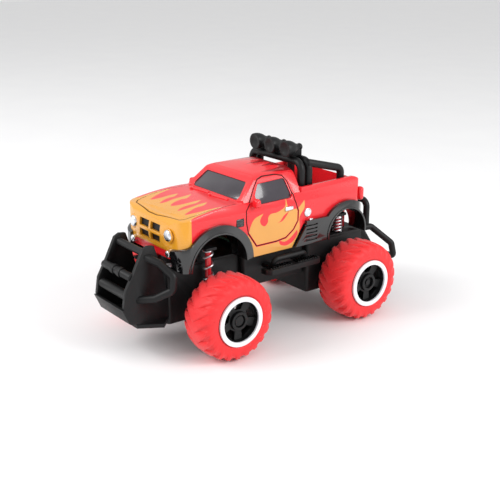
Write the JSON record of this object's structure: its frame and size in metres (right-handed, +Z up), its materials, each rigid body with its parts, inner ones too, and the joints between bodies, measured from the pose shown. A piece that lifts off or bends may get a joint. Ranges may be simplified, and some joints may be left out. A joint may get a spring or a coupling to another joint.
{
  "type": "remote control car",
  "caption": "Small radio-controlled monster pickup with oversize tyres, bull bar, roll bar with lamps and an open cargo bed.",
  "frame": {"origin": "on the ground under the middle of the truck, halfway between the tips of its two bumpers", "axes": "+Z up, the front of the truck faces -Y, +X is the truck's left side"},
  "size_m": [0.096, 0.18, 0.0999],
  "materials": {
    "red_gloss": "glossy red body moulding with printed flames",
    "smoked_window": "dark smoked clear plastic",
    "black_gloss": "glossy black moulding",
    "black_satin": "fine satin black moulding",
    "lens_silver": "silver vacuum-plated lens",
    "tyre_red": "soft matte red vinyl rubber",
    "rim_black": "semi-gloss black moulding",
    "ring_white": "white pad-printed ring",
    "bright_steel": "plated steel",
    "spring_silver": "bright spring",
    "damper_red": "red moulded damper",
    "board_green": "green circuit board",
    "cell_wrap": "plain dark cell sleeve",
    "contact_brass": "sprung contact strip",
    "gear_white": "natural acetal",
    "motor_can": "zinc-plated can"
  },
  "bodies": {
    "chassis": {"battery_cells": "cell_wrap", "battery_contacts": "contact_brass", "body_shell": "red_gloss", "bull_bar": "black_satin", "chassis_deck": "black_satin", "chassis_screws": "bright_steel", "chassis_tub": "black_satin", "circuit_board": "board_green", "damper_front_left": "damper_red", "damper_front_right": "damper_red", "damper_rear_left": "damper_red", "damper_rear_right": "damper_red", "door_mirror_left": "red_gloss", "door_mirror_right": "red_gloss", "drive_motor": "motor_can", "flare_front_left": "black_gloss", "flare_front_right": "black_gloss", "flare_rear_left": "black_gloss", "flare_rear_right": "black_gloss", "fog_lamps": "lens_silver", "gear_pin": "bright_steel", "grille_insert": "black_satin", "headlight_lenses": "lens_silver", "power_switch_body": "black_satin", "rear_bumper": "black_satin", "roll_bar": "black_satin", "side_step_left": "black_satin", "side_step_right": "black_satin", "spot_lamps": "black_satin", "spring_front_left": "spring_silver", "spring_front_right": "spring_silver", "spring_rear_left": "spring_silver", "spring_rear_right": "spring_silver", "steering_motor": "motor_can", "window_glass": "smoked_window"},
    "knuckle_left": {"knuckle_left": "black_satin", "stub_axle_left": "bright_steel"},
    "knuckle_right": {"knuckle_right": "black_satin", "stub_axle_right": "bright_steel"},
    "front_wheel_left": {"rim_front_left": "rim_black", "tyre_front_left": "tyre_red", "wheel_ring_front_left": "ring_white"},
    "front_wheel_right": {"rim_front_right": "rim_black", "tyre_front_right": "tyre_red", "wheel_ring_front_right": "ring_white"},
    "rear_wheels": {"rear_axle": "bright_steel", "axle_gear": "gear_white", "rim_rear_left": "rim_black", "rim_rear_right": "rim_black", "tyre_rear_left": "tyre_red", "tyre_rear_right": "tyre_red", "wheel_ring_rear_left": "ring_white", "wheel_ring_rear_right": "ring_white"},
    "tie_rod": {"tie_rod": "black_satin"},
    "steering_pinion": {"steering_pinion": "gear_white"},
    "reduction_gear": {"reduction_gear": "gear_white"},
    "motor_pinion": {"motor_pinion": "gear_white"},
    "battery_door": {"battery_door": "black_satin", "battery_door_screw": "bright_steel"},
    "power_switch": {"power_switch_knob": "black_satin"}
  },
  "joints": [
    {"name": "steer_left", "type": "hinge", "parent": "chassis", "child": "knuckle_left", "pos_m": [0.021, -0.0423, 0.022], "axis": [0, 0, 1], "range_deg": [-16, 16]},
    {"name": "steer_right", "type": "hinge", "parent": "chassis", "child": "knuckle_right", "pos_m": [-0.021, -0.0423, 0.022], "axis": [0, 0, 1], "range_deg": [-16, 16]},
    {"name": "tie_rod_slide", "type": "slide", "parent": "chassis", "child": "tie_rod", "axis": [1, 0, 0], "range_m": [-0.0023, 0.0023]},
    {"name": "steering_pinion_turn", "type": "hinge", "parent": "chassis", "child": "steering_pinion", "pos_m": [0, -0.03079, 0.0254], "axis": [0, 0, 1], "range_deg": [-66, 66]},
    {"name": "front_wheel_left_spin", "type": "hinge", "parent": "knuckle_left", "child": "front_wheel_left", "pos_m": [0.037, -0.0423, 0.022], "axis": [1, 0, 0], "continuous": true},
    {"name": "front_wheel_right_spin", "type": "hinge", "parent": "knuckle_right", "child": "front_wheel_right", "pos_m": [-0.037, -0.0423, 0.022], "axis": [1, 0, 0], "continuous": true},
    {"name": "rear_axle_spin", "type": "hinge", "parent": "chassis", "child": "rear_wheels", "pos_m": [0, 0.0463, 0.022], "axis": [1, 0, 0], "continuous": true},
    {"name": "reduction_gear_spin", "type": "hinge", "parent": "chassis", "child": "reduction_gear", "pos_m": [0.008, 0.04455, 0.03191], "axis": [1, 0, 0], "continuous": true},
    {"name": "motor_spin", "type": "hinge", "parent": "chassis", "child": "motor_pinion", "pos_m": [0.008, 0.05433, 0.03276], "axis": [1, 0, 0], "continuous": true},
    {"name": "battery_door_release", "type": "slide", "parent": "chassis", "child": "battery_door", "axis": [0, 0, -1], "range_m": [0, 0.02]},
    {"name": "power_switch_slide", "type": "slide", "parent": "chassis", "child": "power_switch", "axis": [0, 1, 0], "range_m": [0, 0.003]}
  ],
  "couplings": [
    {"joint": "steer_right", "follows": "steer_left", "ratio": 1},
    {"joint": "tie_rod_slide", "follows": "steer_left", "m_per_rad": -0.008},
    {"joint": "steering_pinion_turn", "follows": "steer_left", "ratio": -4},
    {"joint": "reduction_gear_spin", "follows": "rear_axle_spin", "ratio": -3},
    {"joint": "motor_spin", "follows": "rear_axle_spin", "ratio": 10}
  ]
}
